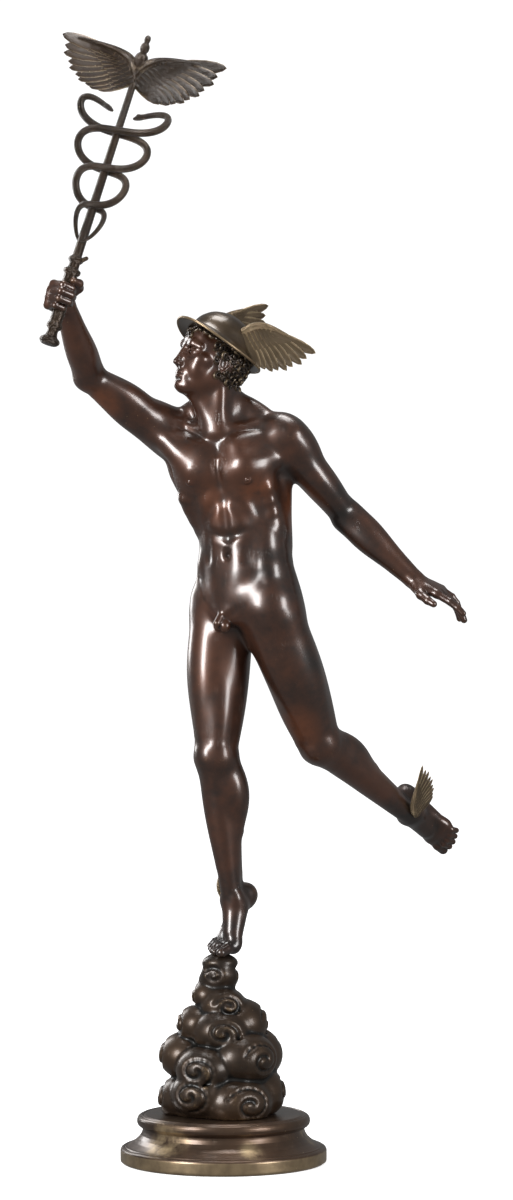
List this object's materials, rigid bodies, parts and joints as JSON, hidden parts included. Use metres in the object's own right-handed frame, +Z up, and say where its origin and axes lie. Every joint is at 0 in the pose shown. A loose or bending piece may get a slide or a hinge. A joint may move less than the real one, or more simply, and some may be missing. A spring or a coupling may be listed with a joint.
{
  "type": "winged mercury statue",
  "caption": "Bronze statuette of a striding nude messenger in a winged hat, raising a snake-wound winged staff, on a bank of cloud and a stepped round base.",
  "frame": {"origin": "centre of the round base's underside, on the surface that the statue stands on", "axes": "+Z up, the figure looks towards -X and -Y, its trailing leg and arm reach towards +X"},
  "size_m": [0.2967, 0.2103, 0.7909],
  "materials": {
    "patinated_bronze": "dark brown lacquered patina, reddish where it is thin, with soft gloss",
    "wing_bronze": "lighter chased metal, worn to bare bronze on the edges",
    "staff_bronze": "dark brown patina, worn on the edges",
    "cloud_bronze": "near-black brown patina with worn high places",
    "base_bronze": "golden brown, turned, worn to bare bronze on the lower rim"
  },
  "bodies": {
    "root": {"figure": "patinated_bronze", "hat_wing_right": "wing_bronze", "hat_wing_left": "wing_bronze", "ankle_wing_right": "wing_bronze", "ankle_wing_left": "wing_bronze", "caduceus": "staff_bronze", "cloud_support": "cloud_bronze", "round_base": "base_bronze"}
  },
  "joints": []
}
